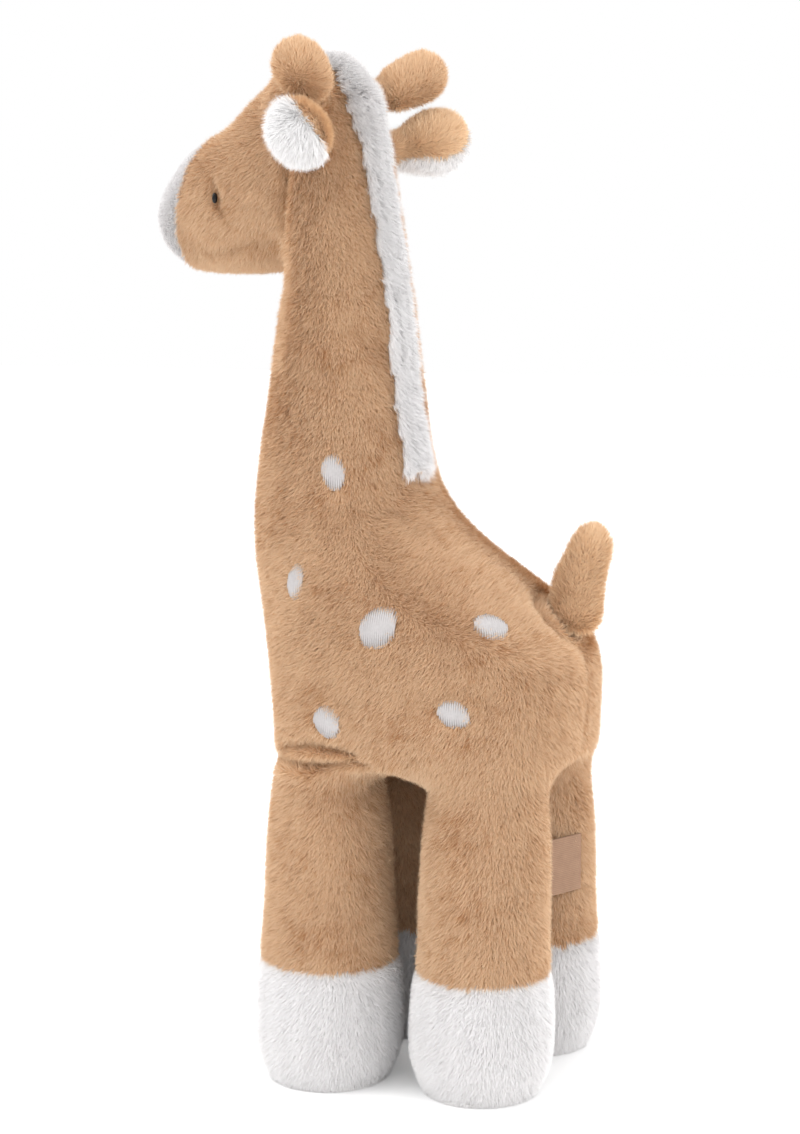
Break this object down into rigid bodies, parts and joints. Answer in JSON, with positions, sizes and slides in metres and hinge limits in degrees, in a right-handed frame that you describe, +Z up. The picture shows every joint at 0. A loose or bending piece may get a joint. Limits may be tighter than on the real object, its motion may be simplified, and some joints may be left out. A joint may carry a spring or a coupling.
{
  "type": "plush giraffe",
  "caption": "Standing stuffed giraffe in tan and white plush, with pale oval spots, a mane strip, stub horns, a tail and flat-soled feet.",
  "frame": {"origin": "on the ground, at the middle of the toy's box", "axes": "+Z up, the toy's front to -Y and its left side to +X"},
  "size_m": [0.1213, 0.1998, 0.3909],
  "materials": {
    "tan_plush": "matt pile",
    "white_plush": "matt pile",
    "filling": "matt",
    "embroidery": "satin thread",
    "label_cloth": "matt woven",
    "bead": "gloss"
  },
  "bodies": {
    "body": {"body_cover_left": "tan_plush", "body_cover_right": "tan_plush", "body_filling": "filling", "mane_neck": "white_plush", "spot_left_1": "embroidery", "spot_left_2": "embroidery", "spot_left_3": "embroidery", "spot_left_4": "embroidery", "spot_left_5": "embroidery", "spot_left_6": "embroidery", "spot_right_1": "embroidery", "spot_right_2": "embroidery", "spot_right_3": "embroidery", "spot_right_4": "embroidery", "spot_right_5": "embroidery", "spot_right_6": "embroidery"},
    "head": {"crown_cover_left": "tan_plush", "crown_cover_right": "tan_plush", "eye_left": "bead", "eye_right": "bead", "face_cover": "tan_plush", "head_filling": "filling", "horn_left_cover": "tan_plush", "horn_left_filling": "filling", "horn_right_cover": "tan_plush", "horn_right_filling": "filling", "mane_crown": "white_plush", "muzzle_cover": "white_plush"},
    "ear_left": {"ear_left_back": "tan_plush", "ear_left_lining": "white_plush"},
    "ear_right": {"ear_right_back": "tan_plush", "ear_right_lining": "white_plush"},
    "tail": {"tail_cover": "tan_plush", "tail_filling": "filling"},
    "leg_front_left": {"foot_front_left_cover": "white_plush", "foot_front_left_sole": "white_plush", "leg_front_left_cover": "tan_plush", "leg_front_left_filling": "filling"},
    "leg_front_right": {"foot_front_right_cover": "white_plush", "foot_front_right_sole": "white_plush", "leg_front_right_cover": "tan_plush", "leg_front_right_filling": "filling"},
    "leg_rear_left": {"foot_rear_left_cover": "white_plush", "foot_rear_left_sole": "white_plush", "leg_rear_left_cover": "tan_plush", "leg_rear_left_filling": "filling"},
    "leg_rear_right": {"foot_rear_right_cover": "white_plush", "foot_rear_right_sole": "white_plush", "label": "label_cloth", "leg_rear_right_cover": "tan_plush", "leg_rear_right_filling": "filling"}
  },
  "joints": [
    {"name": "head_turn", "type": "hinge", "parent": "body", "child": "head", "pos_m": [0, -0.0091, 0.299], "axis": [0, 0, 1], "range_deg": [-20, 20], "stiffness_Nm_per_rad": 1},
    {"name": "ear_left_fold", "type": "hinge", "parent": "head", "child": "ear_left", "pos_m": [0.02423, -0.0146, 0.3527], "axis": [-0.0714, 0.7022, -0.7084], "range_deg": [-3, 20], "stiffness_Nm_per_rad": 0.3},
    {"name": "ear_right_fold", "type": "hinge", "parent": "head", "child": "ear_right", "pos_m": [-0.02283, 0.00068, 0.3527], "axis": [-0.4705, -0.5261, 0.7084], "range_deg": [-3, 20], "stiffness_Nm_per_rad": 0.3},
    {"name": "tail_wag", "type": "hinge", "parent": "body", "child": "tail", "pos_m": [0.00014, 0.08478, 0.17967], "axis": [0, 1, 0], "range_deg": [-20, 20], "stiffness_Nm_per_rad": 0.3},
    {"name": "hip_front_left", "type": "hinge", "parent": "body", "child": "leg_front_left", "pos_m": [0.027, -0.0046, 0.1225], "axis": [1, 0, 0], "range_deg": [-10, 0], "stiffness_Nm_per_rad": 2},
    {"name": "hip_front_right", "type": "hinge", "parent": "body", "child": "leg_front_right", "pos_m": [-0.027, -0.0046, 0.1225], "axis": [1, 0, 0], "range_deg": [-10, 0], "stiffness_Nm_per_rad": 2},
    {"name": "hip_rear_left", "type": "hinge", "parent": "body", "child": "leg_rear_left", "pos_m": [0.027, 0.0594, 0.1225], "axis": [1, 0, 0], "range_deg": [0, 10], "stiffness_Nm_per_rad": 2},
    {"name": "hip_rear_right", "type": "hinge", "parent": "body", "child": "leg_rear_right", "pos_m": [-0.027, 0.0594, 0.1225], "axis": [1, 0, 0], "range_deg": [0, 10], "stiffness_Nm_per_rad": 2}
  ]
}
